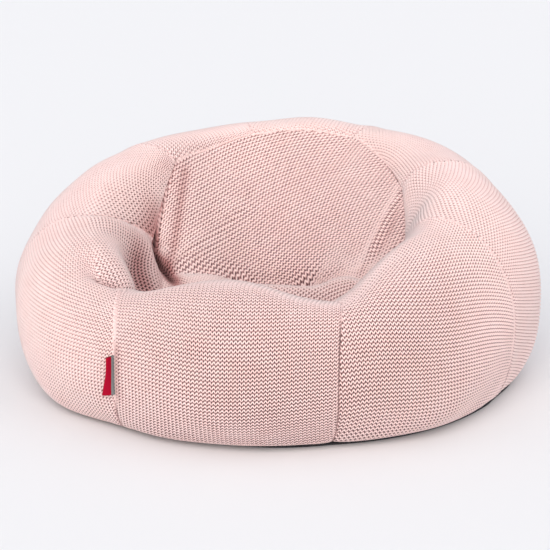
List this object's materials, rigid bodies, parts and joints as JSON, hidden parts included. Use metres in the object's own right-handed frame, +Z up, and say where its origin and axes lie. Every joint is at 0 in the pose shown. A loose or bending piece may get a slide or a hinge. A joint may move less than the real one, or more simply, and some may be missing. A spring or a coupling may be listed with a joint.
{
  "type": "knitted pouf seat",
  "caption": "Low knitted pouf seat: a ring of filled gores around a sunken seat panel that rises at the back as a rest, closed below by a flat cloth base.",
  "frame": {"origin": "on the floor, under the middle of the pouf's bounding box", "axes": "+Z up; the low front of the seat faces -Y and the rest is at +Y; +X is to the right as the front is looked at"},
  "size_m": [0.7624, 0.733, 0.322],
  "materials": {
    "knit": "chunky knitted yarn, matt",
    "base_cloth": "plain woven, matt",
    "label_weave": "close woven ribbon"
  },
  "bodies": {
    "root": {"gore_front": "knit", "gore_front_right": "knit", "gore_right": "knit", "gore_back_right": "knit", "gore_back": "knit", "gore_back_left": "knit", "gore_left": "knit", "gore_front_left": "knit", "seat_panel": "knit", "base_panel": "base_cloth", "side_label": "label_weave"}
  },
  "joints": []
}
